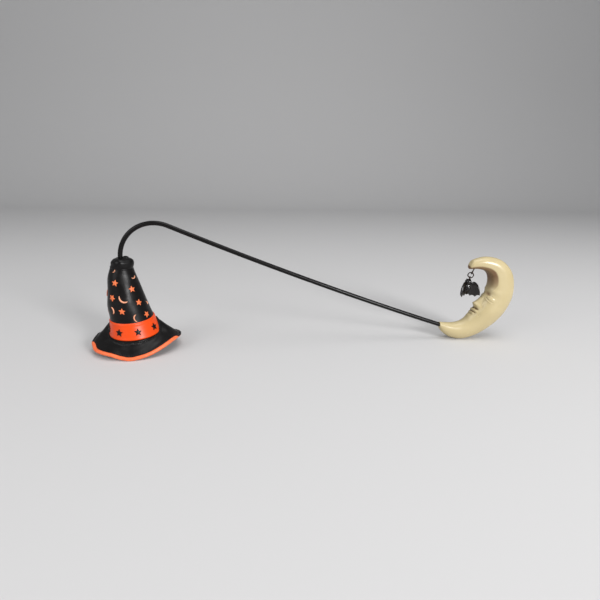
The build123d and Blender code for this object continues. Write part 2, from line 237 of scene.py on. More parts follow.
laps = np.concatenate([brim_table[:, 0] + lap for lap in (-360, 0, 360)])
hem_reach, hem_height, root_share = (
    flow(np.degrees(azimuth), laps, np.tile(brim_table[:, i], 3)) for i in (1, 2, 3))
outwards = np.stack([np.cos(azimuth), np.sin(azimuth), 0 * azimuth], -1)
upwards = np.array([0.0, 0.0, 1.0])
hem = np.array([hat_x, 0, 0]) + outwards * (hem_reach * brim_radius - hem_radius)[:, None]
hem[:, 2] = np.maximum(hem_height * brim_height, 0) + hem_radius - foot_depth
root = crown(root_share, azimuth, -wall / 2)
shoulder = hem_radius * np.sqrt(0.5)
edge = hem - outwards * shoulder + upwards * shoulder


def plate(share, drop):
    """Ring on the brim's plate, a share of the way from its root in the crown to the hem, with a
    small dip in the middle, and lower by drop."""
    drop = hem_radius * share * (1 - share) + drop
    return root + (edge - root) * share - upwards * np.reshape(drop, (-1, 1))


def bead(angle, grow=0.0):
    """Ring on the hem's bead, at an angle round the bead's own centre. The bead thins at the brim's
    two points, which are half a turn apart."""
    thinning = point_thinning * np.exp(-(np.sin(azimuth) / point_width) ** 2)
    size = np.reshape(hem_radius * (1 - thinning) + grow, (-1, 1))
    return hem + outwards * size * np.cos(angle) + upwards * size * np.sin(angle)


rings = []
paint = []
black, orange, salmon = 0, 1, 2


def lay(kind, ring):
    """Adds a ring to the hat's skin, and says which paint the cells before it carry."""
    rings.append(ring)
    paint.append(np.broadcast_to(kind, columns))


def hoop(height, off=0.0):
    """Ring of the crown at one share of its height."""
    return crown(np.full(columns, height), azimuth, off)


# The hollow first: its ceiling, its wall down to the mouth, the mouth's edge, and the underside
# out to the hem.
ceiling = cavity_height / crown_height
top = hoop(ceiling, -wall)
for share in np.linspace(0, 1, 9):
    lay(black, top * share + top.mean(0) * (1 - share))
for height in np.linspace(ceiling, mouth + 0.008, 20)[1:]:
    lay(black, hoop(height, -wall))
for height, off in ((0.002, -wall + 0.1), (0.0, -wall + 0.35), (0.0, -0.35), (0.002, -0.1)):
    lay(black, hoop(mouth + height, off))
under = plate(0.09, crease_thickness - 0.2)
skirt = rings[-1]
for share in (0.3, 0.6, 0.9):
    lay(black, skirt + (under - skirt) * share)
for share in np.linspace(0.12, 0.5, 6):
    lay(black, plate(share, crease_thickness + (wall - crease_thickness) * share * 2))
# Angles round the bead: where its skin starts and ends, and where its paint starts.
bead_start, bead_end, paint_start = -140, 136, -118
low_edge = bead(np.radians(bead_start))
for share in np.linspace(0.2, 0.8, 4):
    lay(black, plate(0.5, wall) * (1 - share) + low_edge * share)
# The bead is painted right round in front. At the two points and behind them its top stays black.
turn = np.degrees(azimuth)
paint_end = -5 + 150 * smooth(186, 196, turn) * (1 - smooth(344, 353, turn))
for angle in np.linspace(bead_start, bead_end, 34):
    kind = np.where((angle > paint_start) & (angle <= paint_end), salmon, black)
    lay(kind, bead(np.radians(angle), 0.03 * np.sin(azimuth * 37 + angle / 40)))
# The brim's cloth is gathered into the band's foot in small puckers, and again a little at the hem.
pucker = np.sin(50 * azimuth + 1.1 * np.sin(5 * azimuth)) + 0.4 * np.sin(31 * azimuth + 2)
for share in np.linspace(0.985, 0.10, 46):
    at_band = 0.70 * np.exp(-((share - 0.18) / 0.055) ** 2)
    at_hem = 0.20 * np.exp(-((share - 0.93) / 0.05) ** 2)
    ripple = 0.07 * np.sin(9 * azimuth + 14 * share) * np.sin(np.pi * share)
    lay(black, plate(share, -(at_band + at_hem) * np.abs(pucker) - ripple))
# The band: a step out, a rounded rim, the flat of the band, and a rim and a step in again.
# Each rim is given by heights from the band's edge, and rises as shares of band_rise.
band_rim = [
    (-0.010, 0.0), (-0.006, 0.55), (-0.002, 0.95), (0.004, 1.25), (0.011, 1.2), (0.018, 1.05),
]
for height, off in band_rim:
    lay(orange if off > 0.6 else black, hoop(band_low + height, off * band_rise))
for height in np.linspace(band_low + 0.024, band_high - 0.024, 16):
    lay(orange, hoop(height, band_rise + 0.04 * np.sin(6 * azimuth + 30 * height)))
for height, off in band_rim[::-1]:
    lay(orange, hoop(band_high - height, off * band_rise))
# The crown above the band, with the shallow dents of soft cloth.
for height in np.linspace(band_high + 0.016, 0.985, 44):
    dent = 0.10 * np.sin(3 * azimuth + 9 * height) + 0.07 * np.sin(5 * azimuth - 16 * height)
    soft = smooth(band_high, band_high + 0.1, height) * (1 - smooth(0.9, 0.98, height))
    lay(black, hoop(height, (dent - 0.1) * soft))
# The folded top: the cloth turns over itself in a soft roll that closes round the rod. Its
# outline is given as millimetres out from its middle and up from the neck.
neck = hoop(1.0).mean(0)
lump = (0.60 * np.cos(azimuth + 0.35) + 0.20 * np.cos(3 * azimuth - 0.6)
        + 0.14 * np.cos(5 * azimuth + 1.2) - 0.5)
profile = np.array([
    (6.95, -0.4), (7.2, 0.5), (7.42, 1.5), (7.5, 2.7), (7.4, 3.8), (7.0, 4.7),
    (6.3, 5.4), (5.3, 5.9), (4.2, 6.15), (3.2, 6.1), (2.4, 5.8), (1.7, 5.1),
    (0.0, 4.9),
])
knots = np.arange(len(profile), dtype=float)
roll_lean = np.radians(4.0)
for at in np.linspace(0, len(profile) - 1, 46):
    out, up = (float(flow(np.array(at), knots, profile[:, i])) for i in (0, 1))
    soft = np.clip((out - 1.6) / 5, 0, 1) * np.clip(up / 2, 0, 1)
    wide = out + lump * soft
    high = up + 0.8 * lump * soft
    over = wide * np.cos(azimuth)
    lay(black, np.stack([neck[0] + over * np.cos(roll_lean) + high * np.sin(roll_lean),
                         wide * np.sin(azimuth),
                         neck[2] - over * np.sin(roll_lean) + high * np.cos(roll_lean)], -1))
rings = np.array(rings)
rings[..., 2] = np.maximum(rings[..., 2], 0)
hat = skin("hat_bell", rings, paint=paint[1:])

# Sprayed black enamel on a casting: near black, a soft gloss, with the casting's grain and small
# lumps showing through as broken highlights.
hat_black, tree = finish_named("black_sprayed_enamel_on_casting")
place = put(tree, "ShaderNodeTexCoord").outputs["Object"]
grain = put(tree, "ShaderNodeTexNoise", [("Vector", place), ("Scale", 1300.0), ("Detail", 4.0)])
lumps = put(tree, "ShaderNodeTexNoise", [("Vector", place), ("Scale", 240.0), ("Detail", 2.0)])
tone = put(tree, "ShaderNodeMix", [
    (0, lumps.outputs[0]), (6, linear("#060505")), (7, linear("#0d0b0b"))], data_type="RGBA")
rough = put(tree, "ShaderNodeMapRange", [
    (0, lumps.outputs[0]), (1, 0.3), (2, 0.7), (3, 0.28), (4, 0.44)])
fine = put(tree, "ShaderNodeBump", [
    ("Height", grain.outputs[0]), ("Strength", 0.2), ("Distance", 0.0002)])
broad = put(tree, "ShaderNodeBump", [
    ("Height", lumps.outputs[0]), ("Strength", 0.3), ("Distance", 0.0004),
    ("Normal", fine.outputs[0])])
coat = put(tree, "ShaderNodeBsdfPrincipled", [
    ("Base Color", tone.outputs[2]), ("Roughness", rough.outputs[0]), ("Normal", broad.outputs[0]),
    ("Specular IOR Level", 0.2)])
put(tree, "ShaderNodeOutputMaterial", [("Surface", coat.outputs[0])])

# Brushed orange enamel: opaque, a little streaked by the brush round the band, satin to gloss.
band_orange, tree = finish_named("orange_brushed_enamel")
place = put(tree, "ShaderNodeTexCoord").outputs["Object"]
streak_space = put(tree, "ShaderNodeMapping", [
    ("Vector", place), ("Scale", (300.0, 300.0, 1500.0))])
streak = put(tree, "ShaderNodeTexNoise", [
    ("Vector", streak_space.outputs[0]), ("Scale", 1.0), ("Detail", 3.0)])
tone = put(tree, "ShaderNodeMix", [
    (0, streak.outputs[0]), (6, linear("#d43f03")), (7, linear("#e44b08"))], data_type="RGBA")
bump = put(tree, "ShaderNodeBump", [
    ("Height", streak.outputs[0]), ("Strength", 0.2), ("Distance", 0.0002)])
coat = put(tree, "ShaderNodeBsdfPrincipled", [
    ("Base Color", tone.outputs[2]), ("Roughness", 0.36), ("Normal", bump.outputs[0]),
    ("Specular IOR Level", 0.35)])
put(tree, "ShaderNodeOutputMaterial", [("Surface", coat.outputs[0])])

# The same orange, mixed paler for the hem and drawn on along the bead.
hem_orange, tree = finish_named("salmon_brushed_enamel")
place = put(tree, "ShaderNodeTexCoord").outputs["Object"]
streak = put(tree, "ShaderNodeTexNoise", [("Vector", place), ("Scale", 420.0), ("Detail", 3.0)])
tone = put(tree, "ShaderNodeMix", [
    (0, streak.outputs[0]), (6, linear("#e2602f")), (7, linear("#f0794a"))], data_type="RGBA")
bump = put(tree, "ShaderNodeBump", [
    ("Height", streak.outputs[0]), ("Strength", 0.3), ("Distance", 0.0002)])
coat = put(tree, "ShaderNodeBsdfPrincipled", [
    ("Base Color", tone.outputs[2]), ("Roughness", 0.4), ("Normal", bump.outputs[0]),
    ("Specular IOR Level", 0.4)])
put(tree, "ShaderNodeOutputMaterial", [("Surface", coat.outputs[0])])

for coating in (hat_black, band_orange, hem_orange):
    hat.data.materials.append(coating)
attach(hat, "snuffer")
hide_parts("hat")

# Tip: the end of the cloth hat's point, a small knob that lies on the folded top beside the rod.
theta = np.linspace(0, np.pi, 20)[:, None]
phi = np.linspace(0, 2 * np.pi, 32, endpoint=False)[None, :]
tip_middle = np.array([neck[0] + 3.0, 0.0, neck[2] + 5.8])
tip_radii = (2.1, 1.6, 1.4)
ball = np.stack([np.sin(theta) * np.cos(phi), np.sin(theta) * np.sin(phi),
                 np.cos(theta) + 0 * phi], -1)
tip = skin("hat_tip", tip_middle + ball * tip_radii)
tip.data.materials.append(hat_black)
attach(tip, "snuffer")

# Stars and crescents: low reliefs, cast with the hat and touched in with the tip of a brush, orange
# on the crown and black on the band. They are scattered all round.
star_size = 2.2
# Height share and azimuth, then the turn in degrees.
star_table = [
    (0.850, -103.5, 12), (0.768, -48.0, 0), (0.610, -39.0, 20), (0.540, -93.0, 8),
    (0.458, -28.0, -15), (0.686, -120.0, 30), (0.480, 46.0, 0), (0.840, 60.0, 25),
    (0.610, 70.0, 10), (0.465, 92.0, 0), (0.720, 106.0, 20), (0.560, 140.0, 5),
    (0.860, 166.0, 15), (0.460, 160.0, 30), (0.700, -176.0, 0),
]
# Height share, azimuth, radius in millimetres, and the way that the back of the crescent faces.
crescent_table = [
    (0.890, -25.0, 1.7, -78.0), (0.668, -85.0, 3.1, -130.0), (0.546, -123.0, 2.3, 10.0),
    (0.452, -63.0, 2.4, 171.0), (0.975, -113.0, 1.1, -45.0), (0.566, -5.0, 1.2, 20.0),
    (0.780, 84.0, 2.3, 240.0), (0.500, 116.0, 2.4, 150.0), (0.640, 160.0, 2.8, 215.0),
    (0.490, -176.0, 2.2, 20.0), (0.790, 140.0, 1.8, 100.0), (0.720, 42.0, 2.4, 215.0),
]


def on_hat(height, turn, across, along, lift, base):
    """Point on the crown's surface, across and along in millimetres from a height share and an
    azimuth, raised by lift along the surface's normal."""
    reach = flow(np.array(height), crown_table[:, 0], crown_table[:, 2]) * crown_radius + base
    h = np.minimum(height + along / crown_height, 1.0)
    a = turn + across / reach
    at = crown(h, a, base)
    normal = np.cross(crown(h, a + 1e-3, base) - at, at - crown(h - 1e-3, a, base))
    normal /= np.linalg.norm(normal, axis=-1, keepdims=True)
    return at + normal * lift[..., None]


def star(height, turn, size, lift, base, spin):
    """Five-pointed star: at each angle the radius is where the ray meets the line from a point to
    the next inner corner, with the points a little rounded. Rings go up its rim and over its
    crowned top."""
    inner = 0.46
    angle = np.linspace(0, 2 * np.pi, 80, endpoint=False)
    fold = np.abs((angle + np.pi / 5) % (2 * np.pi / 5) - np.pi / 5)
    corner = inner * np.sin(np.pi / 5)
    rim = corner / (corner * np.cos(fold) + (1 - inner * np.cos(np.pi / 5)) * np.sin(fold))
    rim = np.minimum(rim, 0.93)
    reach = np.array([0.0, 1.0, 1.04, 1.03, 0.98, 0.90, 0.72, 0.45, 0.2, 0.0])[:, None]
    rise = np.array([-0.5, -0.5, -0.2, 0.45, 0.78, 0.92, 1.0, 1.05, 1.08, 1.1])[:, None]
    across = size * reach * rim * np.sin(angle + spin)
    along = size * reach * rim * np.cos(angle + spin)
    return on_hat(height, turn, across, along, lift * rise + 0 * across, base)


def crescent(height, turn, size, lift, base, spin):
    """Crescent: a tube along an arc of 140 degrees whose width swells from nothing at the tips to
    its middle, half of it above the surface. It is moved so that its own middle is on the place."""
    along_arc = np.linspace(-1, 1, 41)[:, None]
    phase = np.linspace(0, 2 * np.pi, 16, endpoint=False)[None, :]
    fat, back = 0.16 * size, 0.6 * size
    half = fat * np.sqrt(np.clip(1 - along_arc ** 2, 0, 1)) + 0.05 * (1 - along_arc ** 4)
    reach = size + half * np.cos(phase)
    angle = along_arc * np.radians(70) + spin
    across = reach * np.cos(angle) - back * np.cos(spin)
    along = reach * np.sin(angle) - back * np.sin(spin)
    rise = lift * np.sin(phase) * np.clip(half / fat, 0, 1)
    return on_hat(height, turn, across, along, rise, base)


# Enamel dabbed on with the tip of a brush: opaque, satin, and uneven where the brush lifted. The
# crescents have it mixed paler.
dabbed = []
for name, dark, light, roughness in (("orange_dabbed_enamel", "#cf5c2c", "#e67c4a", 0.38),
                                     ("peach_dabbed_enamel", "#cf8460", "#e8a888", 0.36)):
    made, tree = finish_named(name)
    place = put(tree, "ShaderNodeTexCoord").outputs["Object"]
    dab = put(tree, "ShaderNodeTexNoise", [("Vector", place), ("Scale", 700.0), ("Detail", 2.0)])
    tone = put(tree, "ShaderNodeMix", [
        (0, dab.outputs[0]), (6, linear(dark)), (7, linear(light))], data_type="RGBA")
    coat = put(tree, "ShaderNodeBsdfPrincipled", [
        ("Base Color", tone.outputs[2]), ("Roughness", roughness), ("Specular IOR Level", 0.4)])
    put(tree, "ShaderNodeOutputMaterial", [("Surface", coat.outputs[0])])
    dabbed.append(made)
star_orange, crescent_peach = dabbed

motif_lift = 0.42
stars = [star(h, np.radians(a), star_size, motif_lift, 0.0, np.radians(s))
         for h, a, s in star_table]
crescents = [crescent(h, np.radians(a), size, motif_lift, 0.0, np.radians(s))
             for h, a, size, s in crescent_table]
# Eight stars stand round the band, a little below its middle.
band_star_height, band_star_size, band_star_lift, band_star_spin = 0.302, 2.5, 0.5, 0.1
band_stars = [star(band_star_height, turn, band_star_size, band_star_lift, band_rise,
                   band_star_spin) for turn in np.radians(-112.5 + 45 * np.arange(8))]
for label, coating, grids in (("hat_star", star_orange, stars),
                              ("hat_crescent", crescent_peach, crescents),
                              ("band_star", hat_black, band_stars)):
    for number, grid in enumerate(grids):
        motif = skin(f"{label}_{number + 1:02d}", grid)
        motif.data.materials.append(coating)
        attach(motif, "snuffer")

# Moon: the handle, a crescent cast in resin, with a sleeping face on its inner side. It is painted
#  cream, wiped with a thin brown stain that stays in the hollows, and varnished; inside the brow
#  the brown is painted shade.
moon_left = 95.4
moon_breadth = 53.4
moon_height = 61.7
moon_depth = 15.4
wall_inset = 0.065
# Inner x and z, outer x and z, and the thickness, from the rod's end to the tip of the upper horn.
moon_table = np.array([
    (0.000, 0.214, 0.000, 0.143, 0.290), (0.088, 0.206, 0.048, 0.087, 0.440),
    (0.200, 0.204, 0.165, 0.023, 0.610), (0.303, 0.225, 0.335, -0.002, 0.730),
    (0.386, 0.280, 0.545, 0.050, 0.820), (0.438, 0.357, 0.760, 0.175, 0.930),
    (0.532, 0.462, 0.905, 0.320, 1.000), (0.594, 0.567, 0.995, 0.513, 0.960),
    (0.622, 0.665, 0.986, 0.705, 0.890), (0.603, 0.765, 0.915, 0.850, 0.800),
    (0.541, 0.825, 0.765, 0.960, 0.700), (0.444, 0.848, 0.560, 1.000, 0.570),
    (0.363, 0.851, 0.386, 0.970, 0.430), (0.330, 0.857, 0.336, 0.928, 0.290),
    (0.320, 0.879, 0.320, 0.890, 0.050),
])
knots = np.arange(len(moon_table), dtype=float)
# Rows lie closest over the face, and columns closest along the inner edge.
station = np.concatenate([
    np.linspace(0, 3.9, 70), np.linspace(3.9, 7.6, 310)[1:], np.linspace(7.6, 14, 120)[1:]])
moon_row = np.stack([flow(station, knots, moon_table[:, i]) for i in range(5)], -1)
inner_line = np.stack([moon_left + moon_row[:, 0] * moon_breadth, moon_row[:, 1] * moon_height], -1)
outer_line = np.stack([moon_left + moon_row[:, 2] * moon_breadth, moon_row[:, 3] * moon_height], -1)
u = np.linspace(-np.pi, np.pi, 184, endpoint=False)
t = np.pi + u - 0.4 * np.sin(u)
# The inner half of the section is squared over the brow and the horn, where the face has a flat
# inner wall, set back by wall_inset of the breadth there: an oval whose power rises from 2 to 3.
square = smooth(7.0, 8.6, station) * (1 - smooth(11.5, 13.4, station))
power = 2 + square[:, None] * smooth(0.0, 0.5, -np.cos(t))[None]
swell = (np.abs(np.cos(t)) ** power + np.abs(np.sin(t)) ** power) ** (-1 / power)
inner_line += (outer_line - inner_line) * (wall_inset * square)[:, None]
half = (outer_line - inner_line)[:, None] / 2
spine = (outer_line + inner_line)[:, None] / 2
flatways = spine + half * (np.cos(t) * swell)[..., None]
deep = (moon_row[:, 4] * moon_depth / 2)[:, None] * np.sin(t) * swell
base = np.stack([flatways[..., 0], deep, flatways[..., 1]], -1)
# Distances on the face in millimetres: f up the inner edge from the chin, e back from the edge
# round either cheek.
edge_steps = np.linalg.norm(np.diff(inner_line, axis=0), axis=1)
f = np.concatenate([[0], np.cumsum(edge_steps)])
f = (f - np.interp(4.0, station, f))[:, None]
middle = len(u) // 2
steps = np.linalg.norm(np.diff(base, axis=1), axis=2)
walk = np.concatenate([np.zeros((len(station), 1)), np.cumsum(steps, axis=1)], axis=1)
e = np.minimum(np.abs(walk - walk[:, middle:middle + 1]), 40.0)


def hump(f0, e0, tall, wide, tilt=0.0):
    """Round rise at a place on the face: a bell curve, tall up the edge and wide back from it. Its
    middle line climbs by tilt for each millimetre back."""
    return np.exp(-(((f - f0 - tilt * (e - e0)) / tall) ** 2 + ((e - e0) / wide) ** 2))


def line(f0, e0, e1, tall, tilt=0.0, arch=0.0):
    """Rise drawn along a line back from the edge, from e0 to e1, arched, with soft ends."""
    mid = (e0 + e1) / 2
    course = f0 + tilt * (e - mid) + arch * (e - mid) ** 2
    ends = smooth(e0 - 0.7, e0 + 0.7, e) * (1 - smooth(e1 - 1.6, e1 + 0.8, e))
    return np.exp(-((f - course) / tall) ** 2) * ends


# Nose: reach of the ridge up the face and its half width, sharp below the tip.
nose_at = np.array([8.05, 8.7, 9.45, 10.2, 10.8, 11.4, 12.6, 14.9, 17.8, 21.0])
nose_reach = np.array([-1.1, 0.0, 1.15, 2.35, 3.0, 2.95, 2.45, 1.65, 0.7, 0.0])
nose_wide = np.array([3.6, 3.4, 3.5, 3.6, 3.6, 3.4, 3.0, 2.4, 2.1, 2.0])
nose_foot, nose_top = nose_at[0], nose_at[-1]
on_nose = smooth(7.2, nose_foot, f) * (1 - smooth(nose_top, 22.5, f))
nose = flow(np.clip(f, nose_foot, nose_top), nose_at, nose_reach) * on_nose
wide = flow(np.clip(f, nose_foot, nose_top), nose_at, nose_wide)
nose = nose * np.clip(1 - (e / (wide * 1.25)) ** 2, 0, 1) ** 1.5
# What is carved in the face: a rise in millimetres, or a hollow if it is negative, and where.
humps = (
    (0.30, 10.4, 3.6, 1.3, 1.5),         # wing of the nostril
    (-0.22, 11.4, 5.6, 2.2, 0.9),        # crease behind it
    (-0.30, 5.2, 0.0, 2.6, 5.0),         # mouth, set back as a whole
    (0.45, 1.0, 0.0, 1.9, 4.5),          # chin
    (-0.25, 5.3, 7.4, 1.0, 0.9),         # corner of the mouth
    (-0.80, 20.9, 3.7, 1.9, 2.8, -0.3),  # hollow under the brow
    (0.85, 18.6, 6.2, 2.1, 3.2, -0.3),   # eyeball under the lids
    (0.45, 23.3, 6.8, 1.7, 5.0, -0.25),  # brow
    (0.65, 9.0, 12.0, 5.5, 4.6),         # cheek
)
lines = (
    (-0.45, 8.15, 1.0, 4.8, 0.70, 0.02),          # under the nose
    (0.48, 6.45, -2.0, 5.6, 0.80, -0.05),         # upper lip
    (-0.48, 5.25, -2.0, 4.6, 0.34),               # between the lips
    (0.42, 4.25, -2.0, 3.9, 0.75, 0.04),          # lower lip
    (-0.32, 2.95, -2.0, 2.8, 0.90),               # between the lip and the chin
    (-0.32, 17.0, 3.2, 9.8, 0.32, -0.3, 0.05),    # between the lids
    (-0.20, 20.1, 3.6, 9.4, 0.32, -0.3, -0.05),   # crease over the upper lid
    (0.16, 16.2, 4.3, 9.0, 0.45, -0.3, 0.05),     # lower lid
)
carve = sum(rise * hump(*where) for rise, *where in humps)
carve = carve + sum(rise * line(*where) for rise, *where in lines)
carve *= smooth(-3.5, -1.0, f) * (1 - smooth(25.0, 27.5, f))

down_edge = np.gradient(base, axis=0)
round_edge = (np.roll(base, -1, axis=1) - np.roll(base, 1, axis=1)) / 2
normal = np.cross(down_edge, round_edge)
normal /= np.maximum(np.linalg.norm(normal, axis=2, keepdims=True), 1e-9)
from_spine = base - np.stack([spine[..., 0] + 0 * deep, 0 * deep, spine[..., 1] + 0 * deep], -1)
normal *= np.sign((normal * from_spine).sum(2, keepdims=True) + 1e-12)
inwards = -half / np.linalg.norm(half, axis=2, keepdims=True)
inwards = np.stack([inwards[..., 0], 0 * inwards[..., 0], inwards[..., 1]], -1)
face = base + normal * carve[..., None] + inwards * nose[..., None]
# Both ends are closed, the rod's end with a small round.
first, last = face[:1].mean(1, keepdims=True), face[-1:].mean(1, keepdims=True)
out_of_end = np.array([-0.50, 0.0, -0.02])
round_end = face[:1] - first
face = np.concatenate([first + out_of_end + 0 * face[:1], first + round_end * 0.72 + out_of_end,
                       first + round_end * 0.93 + out_of_end * 0.6, face, last + 0 * face[-1:]])
face[..., 0] = np.maximum(face[..., 0], moon_left)
face[..., 2] = np.maximum(face[..., 2], 0)
# Stain and painted shade: a brown stain kept by the carved hollows, darker still along the line
# between the lips,
#  a painted shadow under the nose, and painted shade over the inner wall from the brow to the
#  horn's tip.
hollow = (np.clip(-carve / 0.55, 0, 1) + 0.45 * line(8.3, 0.6, 4.6, 0.60)
          + 0.7 * line(5.05, -2.0, 4.5, 0.34))
# Painted shade: the inner wall from the brow to the horn's tip is browned in full, as the shade it
# lies in.
wall_stations, wall_widths = [7.0, 8.0, 9.5, 11.0, 12.5, 14.0], [5.0, 8.2, 8.0, 6.0, 3.6, 2.4]
wall_edge = np.interp(station, wall_stations, wall_widths)[:, None]
inner_wall_painted_shade = (1 - smooth(-1.1, 0.4, e - wall_edge)) * smooth(7.0, 9.0, station)[:, None]
stain_and_painted_shade = np.clip(0.75 * hollow, 0, 0.85) * (1 - inner_wall_painted_shade) + inner_wall_painted_shade
stain_and_painted_shade = np.concatenate([stain_and_painted_shade[:1], stain_and_painted_shade[:1], stain_and_painted_shade[:1], stain_and_painted_shade, stain_and_painted_shade[-1:]])
moon = skin("moon_handle", face, values={"stain_and_painted_shade": stain_and_painted_shade})

# Cream paint under varnish: faintly cloudy and glossy, and duller where the stain and the painted
# shade lie.
moon_cream, tree = finish_named("cream_resin_varnished_stain_and_painted_shade")
place = put(tree, "ShaderNodeTexCoord").outputs["Object"]
cloud = put(tree, "ShaderNodeTexNoise", [("Vector", place), ("Scale", 90.0), ("Detail", 4.0)])
cream = put(tree, "ShaderNodeMix", [
    (0, cloud.outputs[0]), (6, linear("#b0a077")), (7, linear("#bcad86"))], data_type="RGBA")
kept = put(tree, "ShaderNodeAttribute", attribute_name="stain_and_painted_shade")
patchy = put(tree, "ShaderNodeMapRange", [
    (0, cloud.outputs[0]), (1, 0.3), (2, 0.7), (3, 0.75), (4, 1.0)])
strength = put(tree, "ShaderNodeMath", [
    (0, kept.outputs["Fac"]), (1, patchy.outputs[0])], operation="MULTIPLY")
# The brown mixed into the cream is the stain in the hollows and the painted shade under the nose
# and on the inner wall.
tone = put(tree, "ShaderNodeMix", [
    (0, strength.outputs[0]), (6, cream.outputs[2]), (7, linear("#5a3416"))], data_type="RGBA")
bump = put(tree, "ShaderNodeBump", [
    ("Height", cloud.outputs[0]), ("Strength", 0.15), ("Distance", 0.0004)])
matt = put(tree, "ShaderNodeMapRange", [(0, kept.outputs["Fac"]), (3, 0.27), (4, 0.6)])
coat = put(tree, "ShaderNodeBsdfPrincipled", [
    ("Base Color", tone.outputs[2]), ("Roughness", matt.outputs[0]), ("Normal", bump.outputs[0]),
    ("IOR", 1.49)])
put(tree, "ShaderNodeOutputMaterial", [("Surface", coat.outputs[0])])
moon.data.materials.append(moon_cream)
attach(moon, "snuffer")
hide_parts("moon")

# Chain: two wire eyes and an open jump ring between them, all of blackened 0.75 mm wire. The chain
# leans and is turned towards the front, and the charm hangs a little turned on it.
wire_radius = 0.375
eye_radius = 1.175
ring_radius = 1.875
# From one wire's middle to the next where they hang in each other: a wire and 0.06 mm of play.
link_step = 2 * wire_radius + 0.06
moon_shank = 5.6
bat_shank = 4.9
eye_drop = 2.3
chain_turn = np.radians(-25)
chain_lean = np.radians(20)
chain_top = np.array([moon_left + 0.382 * moon_breadth, 0, 0.8525 * moon_height - eye_drop])
ring_side = np.array([np.cos(chain_turn), np.sin(chain_turn), 0])
chain_x = ring_side * np.cos(chain_lean) - upwards * np.sin(chain_lean)
chain_z = np.cross(ring_side, upwards)
chain_y = np.cross(chain_z, chain_x)
ring_top = eye_radius - link_step


def eye_wire(origin, up, side, length):
    """Middle line of an eye: a straight shank that comes down to the loop, turns onto it and goes
    round until the end nearly meets the shank."""
    shank = np.stack([np.zeros(14), np.linspace(length, 1.9, 14)], -1)
    turn = np.radians(np.linspace(112, 432, 90))
    loop = eye_radius * np.stack([np.cos(turn), np.sin(turn)], -1)
    at = np.linspace(0, 1, 9)[1:-1, None]
    start, end = shank[-1], loop[0]
    pull, push = np.array([0, -0.45]), np.array([-0.42, -0.17])
    bend = (start * (1 - at) ** 3 + 3 * (start + pull) * at * (1 - at) ** 2
            + 3 * (end - push) * at ** 2 * (1 - at) + end * at ** 3)
    path = np.concatenate([shank, bend, loop])
    return origin + path[:, :1] * side + path[:, 1:] * up


# Blackened steel: a dull metal that turns brown where the blackening has worn.
wire_black, tree = finish_named("blackened_steel_wire")
place = put(tree, "ShaderNodeTexCoord").outputs["Object"]
worn = put(tree, "ShaderNodeTexNoise", [("Vector", place), ("Scale", 1500.0), ("Detail", 3.0)])
tone = put(tree, "ShaderNodeMix", [
    (0, worn.outputs[0]), (6, linear("#1c1210")), (7, linear("#3a2620"))], data_type="RGBA")
rough = put(tree, "ShaderNodeMapRange", [(0, worn.outputs[0]), (3, 0.28), (4, 0.46)])
coat = put(tree, "ShaderNodeBsdfPrincipled", [
    ("Base Color", tone.outputs[2]), ("Roughness", rough.outputs[0]), ("Metallic", 0.8)])
put(tree, "ShaderNodeOutputMaterial", [("Surface", coat.outputs[0])])

ring_turn = np.radians(np.linspace(0.5, 354.5, 130))[:, None]
ring_middle = chain_top - chain_y * (ring_top + ring_radius)
ring_path = ring_middle + ring_radius * (np.cos(ring_turn) * chain_x + np.sin(ring_turn) * chain_y)
bat_lean = np.radians(-1.0)
bat_up = upwards * np.cos(bat_lean) + np.cross(chain_z, upwards) * np.sin(bat_lean)
bat_top = chain_top - chain_y * (ring_top + 2 * ring_radius - link_step) - bat_up * eye_radius
for label, node, body, path in (
        ("moon_eye_wire", "moon_eye", "snuffer", eye_wire(chain_top, chain_y, chain_z, moon_shank)),
        ("jump_ring_wire", "jump_ring", "ring", ring_path),
        ("bat_eye_wire", "bat_eye", "charm", eye_wire(bat_top, -bat_up, chain_z, bat_shank))):
    wire = skin(label, tube(path, wire_radius, 20))
    wire.data.materials.append(wire_black)
    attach(wire, body)
    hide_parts(node)

# Bat: a small casting in glossy black, with a plump body, a round head with two ears, and wings
# drawn forward like a cloak, each with two fingers and a scalloped lower edge.
# The wings are 0.8 mm longer and 0.5 mm thicker than the solid's.
bat_height = 13.8
head_radius = 2.3
head_drop = eye_radius + head_radius - wire_radius
wing_span = 9.3
wing_thickness = 1.8
bat_twist = np.radians(30)
bat_x = np.cross(bat_up, chain_z)
bat_side = bat_x * np.cos(bat_twist) - chain_z * np.sin(bat_twist)
bat_front = chain_z * np.cos(bat_twist) + bat_x * np.sin(bat_twist)
bat_origin = bat_top - bat_front * 1.1


def on_bat(out, up, fore):
    """Point of the bat from millimetres out to its side, up, and to its front."""
    return (bat_origin + out[..., None] * bat_side + up[..., None] * bat_up
            + fore[..., None] * bat_front)


# Glossy black enamel on a small casting: a wet coat, pooled, so that the wings carry streaks.
bat_black, tree = finish_named("black_gloss_enamel_on_charm")
place = put(tree, "ShaderNodeTexCoord").outputs["Object"]
pool = put(tree, "ShaderNodeTexNoise", [("Vector", place), ("Scale", 420.0), ("Detail", 2.0)])
tone = put(tree, "ShaderNodeMix", [
    (0, pool.outputs[0]), (6, linear("#060302")), (7, linear("#0e0705"))], data_type="RGBA")
bump = put(tree, "ShaderNodeBump", [
    ("Height", pool.outputs[0]), ("Strength", 0.25), ("Distance", 0.0003)])
coat = put(tree, "ShaderNodeBsdfPrincipled", [
    ("Base Color", tone.outputs[2]), ("Roughness", 0.16), ("Normal", bump.outputs[0]),
    ("Specular IOR Level", 0.5)])
put(tree, "ShaderNodeOutputMaterial", [("Surface", coat.outputs[0])])

